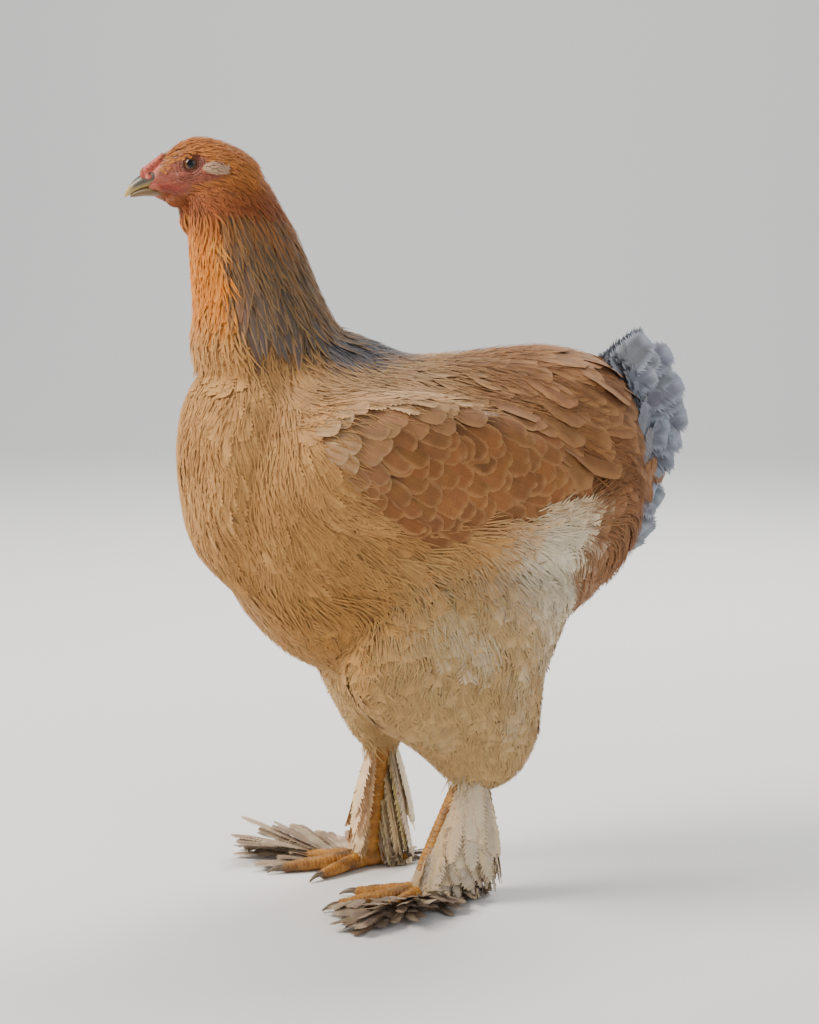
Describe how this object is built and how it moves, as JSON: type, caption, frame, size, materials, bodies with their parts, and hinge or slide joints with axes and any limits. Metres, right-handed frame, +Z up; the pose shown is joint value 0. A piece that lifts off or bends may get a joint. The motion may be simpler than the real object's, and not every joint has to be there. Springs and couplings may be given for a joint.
{
  "type": "brahma chicken model",
  "caption": "Life-size standing model of a brahma hen with buff body, slate-striped hackle, slate tail and feathered feet.",
  "frame": {"origin": "on the floor, under the middle of the box round the whole hen", "axes": "the hen faces -Y, its left side is +X, and +Z is up, its tallest direction"},
  "size_m": [0.26, 0.4672, 0.6141],
  "materials": {
    "buff_feather": "soft matte feather",
    "hackle_feather": "matte feather, slate with gold edges",
    "cinnamon_feather": "matte feather with pale edges",
    "slate_feather": "matte feather",
    "cream_feather": "soft matte fluff",
    "horn": "horn, satin",
    "claw": "horn, satin",
    "red_skin": "bare skin, fine bumps",
    "ear_patch": "soft matte feather",
    "leg_scale": "scaled skin",
    "eye": "wet gloss"
  },
  "bodies": {
    "root": {"head": "buff_feather", "beak_upper": "horn", "beak_lower": "horn", "comb": "red_skin", "eye_left": "eye", "earlobe_left": "ear_patch", "wattle_left": "red_skin", "eye_right": "eye", "earlobe_right": "ear_patch", "wattle_right": "red_skin", "torso": "buff_feather", "neck": "hackle_feather", "tail": "slate_feather", "wing_left": "cinnamon_feather", "thigh_left": "cream_feather", "shank_left": "cream_feather", "foot_left": "leg_scale", "claw_left_inner": "claw", "claw_left_middle": "claw", "claw_left_outer": "claw", "claw_left_hind": "claw", "wing_right": "cinnamon_feather", "thigh_right": "cream_feather", "shank_right": "cream_feather", "foot_right": "leg_scale", "claw_right_inner": "claw", "claw_right_middle": "claw", "claw_right_outer": "claw", "claw_right_hind": "claw"}
  },
  "joints": []
}
